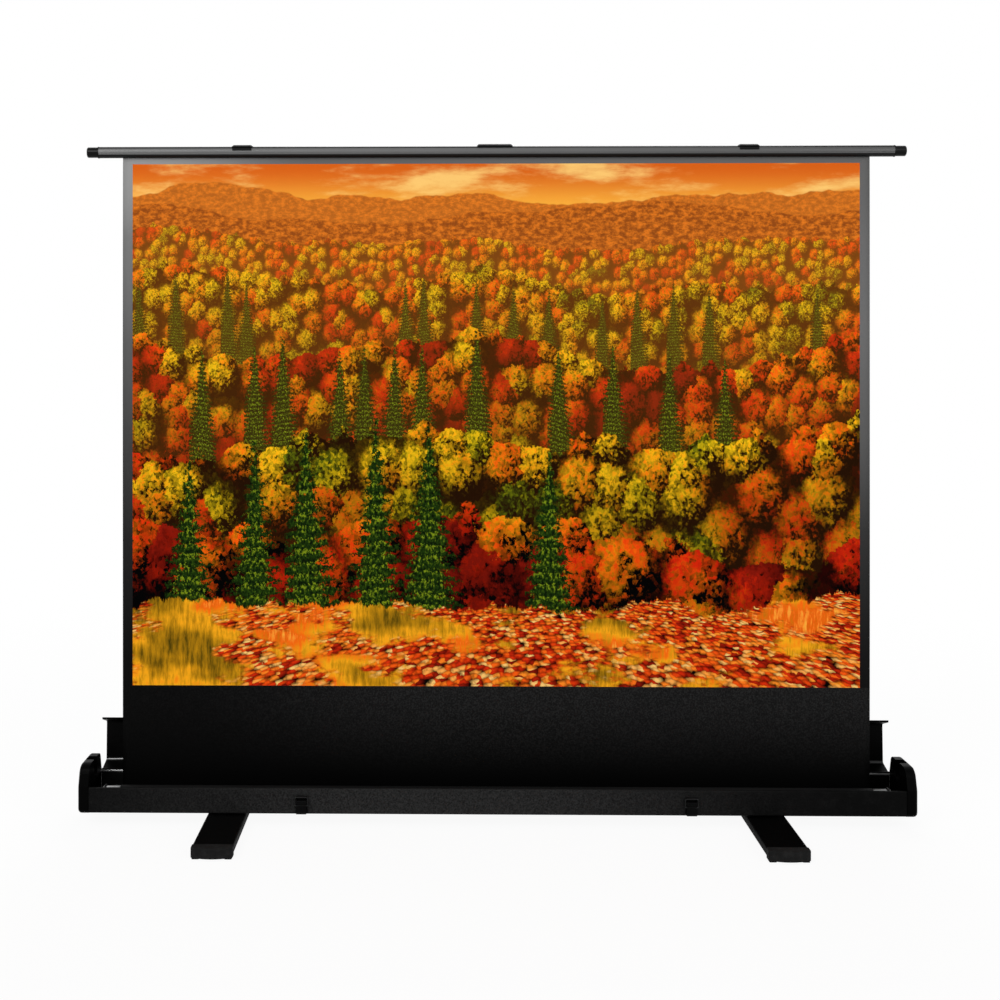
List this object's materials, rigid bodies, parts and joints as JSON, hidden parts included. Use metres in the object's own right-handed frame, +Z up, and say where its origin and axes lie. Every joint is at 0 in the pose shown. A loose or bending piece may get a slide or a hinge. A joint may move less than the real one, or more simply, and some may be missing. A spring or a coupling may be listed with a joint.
{
  "type": "pull up projection screen",
  "caption": "Floor-standing pull up projection screen with a long hinged case, swivel feet, a spring roller, a geared folding lift and a black-bordered sheet on a round top bar.",
  "frame": {"origin": "on the floor, below the middle of the case, at the middle of the bounding box's underside", "axes": "+X along the case towards its right end as the viewer faces the picture, +Y from the viewer to the back, +Z up"},
  "size_m": [1.845, 0.51, 1.5138],
  "materials": {
    "case_coat": "black powder coat on an extrusion",
    "bar_coat": "dark grey satin coat on a drawn tube",
    "roller_alloy": "plain extruded tube",
    "black_steel": "black satin coat on pressed steel",
    "plated_steel": "zinc plated",
    "black_plastic": "fine-grained black moulding",
    "sheet_cloth": "matte coated cloth, black borders and black drop"
  },
  "bodies": {
    "case": {"base_channel": "case_coat", "end_cap_left": "black_plastic", "end_cap_right": "black_plastic", "roller_bracket_left": "plated_steel", "roller_bracket_right": "plated_steel", "lift_bracket": "black_steel", "lift_pin_left": "plated_steel", "lift_pin_right": "plated_steel", "latch_plate_left": "black_steel", "latch_plate_right": "black_steel", "foot_mount_left": "black_steel", "foot_mount_right": "black_steel", "foot_bolt_left": "plated_steel", "foot_bolt_right": "plated_steel", "screen_fabric": "sheet_cloth"},
    "spring_roller": {"roller_tube": "roller_alloy", "wound_fabric": "sheet_cloth", "roller_plug_left": "black_plastic", "roller_plug_right": "black_plastic", "roller_spring": "plated_steel"},
    "lower_link_right": {"lower_arm_right": "black_steel", "elbow_pin_right": "plated_steel"},
    "lower_link_left": {"lower_arm_left": "black_steel", "elbow_pin_left": "plated_steel"},
    "upper_link_right": {"upper_arm_right": "black_steel"},
    "upper_link_left": {"upper_arm_left": "black_steel"},
    "bar": {"top_bar": "bar_coat", "sheet_spline": "black_plastic", "bar_plug_left": "black_plastic", "bar_plug_right": "black_plastic", "grip_handle": "black_plastic", "bar_clip_left": "black_plastic", "bar_clip_right": "black_plastic", "top_bracket": "black_steel", "top_pin_left": "plated_steel", "top_pin_right": "plated_steel"},
    "lid": {"lid_shell": "case_coat", "lid_keeper_left": "black_steel", "lid_keeper_right": "black_steel", "handle_mount_left": "black_plastic", "handle_mount_right": "black_plastic"},
    "handle": {"carry_handle": "black_plastic"},
    "lever_right": {"latch_lever_right": "black_steel"},
    "lever_left": {"latch_lever_left": "black_steel"},
    "bail_right": {"latch_bail_right": "black_steel"},
    "bail_left": {"latch_bail_left": "black_steel"},
    "foot_right": {"foot_bar_right": "case_coat", "foot_shoe_front_right": "black_plastic", "foot_shoe_rear_right": "black_plastic"},
    "foot_left": {"foot_bar_left": "case_coat", "foot_shoe_front_left": "black_plastic", "foot_shoe_rear_left": "black_plastic"}
  },
  "joints": [
    {"name": "lift_fold", "type": "hinge", "parent": "case", "child": "lower_link_right", "pos_m": [0.022, 0.0195, 0.062], "axis": [0, 1, 0], "range_deg": [0, 61.33], "deforming": ["screen_fabric"]},
    {"name": "lift_fold_left", "type": "hinge", "parent": "case", "child": "lower_link_left", "pos_m": [-0.022, 0.0195, 0.062], "axis": [0, 1, 0], "range_deg": [-61.34, 0]},
    {"name": "elbow_right", "type": "hinge", "parent": "lower_link_right", "child": "upper_link_right", "pos_m": [0.39739, 0.0246, 0.768], "axis": [0, 1, 0], "range_deg": [-122.68, 0]},
    {"name": "elbow_left", "type": "hinge", "parent": "lower_link_left", "child": "upper_link_left", "pos_m": [-0.39739, 0.0246, 0.768], "axis": [0, 1, 0], "range_deg": [0, 122.68]},
    {"name": "bar_pivot", "type": "hinge", "parent": "upper_link_right", "child": "bar", "pos_m": [0.022, 0.0297, 1.474], "axis": [0, 1, 0], "range_deg": [0, 61.34]},
    {"name": "roller_spin", "type": "hinge", "parent": "case", "child": "spring_roller", "pos_m": [0, -0.0163, 0.0587], "axis": [1, 0, 0], "range_deg": [-3720, 0]},
    {"name": "lid_hinge", "type": "hinge", "parent": "case", "child": "lid", "pos_m": [0, 0.058, 0.0886], "axis": [1, 0, 0], "range_deg": [0, 6]},
    {"name": "handle_swing", "type": "hinge", "parent": "lid", "child": "handle", "pos_m": [0, 0.10928, 0.14442], "axis": [1, 0, 0], "range_deg": [0, 90]},
    {"name": "lever_swing_right", "type": "hinge", "parent": "case", "child": "lever_right", "pos_m": [0.4275, -0.0652, 0.06], "axis": [-1, 0, 0], "range_deg": [0, 110]},
    {"name": "lever_swing_left", "type": "hinge", "parent": "case", "child": "lever_left", "pos_m": [-0.4275, -0.0652, 0.06], "axis": [-1, 0, 0], "range_deg": [0, 110]},
    {"name": "bail_swing_right", "type": "hinge", "parent": "lever_right", "child": "bail_right", "pos_m": [0.4275, -0.0667, 0.0515], "axis": [-1, 0, 0], "range_deg": [-110, 0]},
    {"name": "bail_swing_left", "type": "hinge", "parent": "lever_left", "child": "bail_left", "pos_m": [-0.4275, -0.0667, 0.0515], "axis": [-1, 0, 0], "range_deg": [-110, 0]},
    {"name": "foot_swivel_right", "type": "hinge", "parent": "case", "child": "foot_right", "pos_m": [0.595, 0, 0.03], "axis": [0, 0, 1], "range_deg": [0, 90]},
    {"name": "foot_swivel_left", "type": "hinge", "parent": "case", "child": "foot_left", "pos_m": [-0.595, 0, 0.03], "axis": [0, 0, 1], "range_deg": [-90, 0]}
  ],
  "couplings": [
    {"joint": "lift_fold_left", "follows": "lift_fold", "ratio": -1},
    {"joint": "elbow_right", "follows": "lift_fold", "ratio": -2},
    {"joint": "elbow_left", "follows": "lift_fold", "ratio": 2},
    {"joint": "bar_pivot", "follows": "lift_fold", "ratio": 1},
    {"joint": "roller_spin", "follows": "lift_fold", "ratio": -60.543},
    {"joint": "bail_swing_right", "follows": "lever_swing_right", "ratio": -1},
    {"joint": "bail_swing_left", "follows": "lever_swing_left", "ratio": -1}
  ]
}
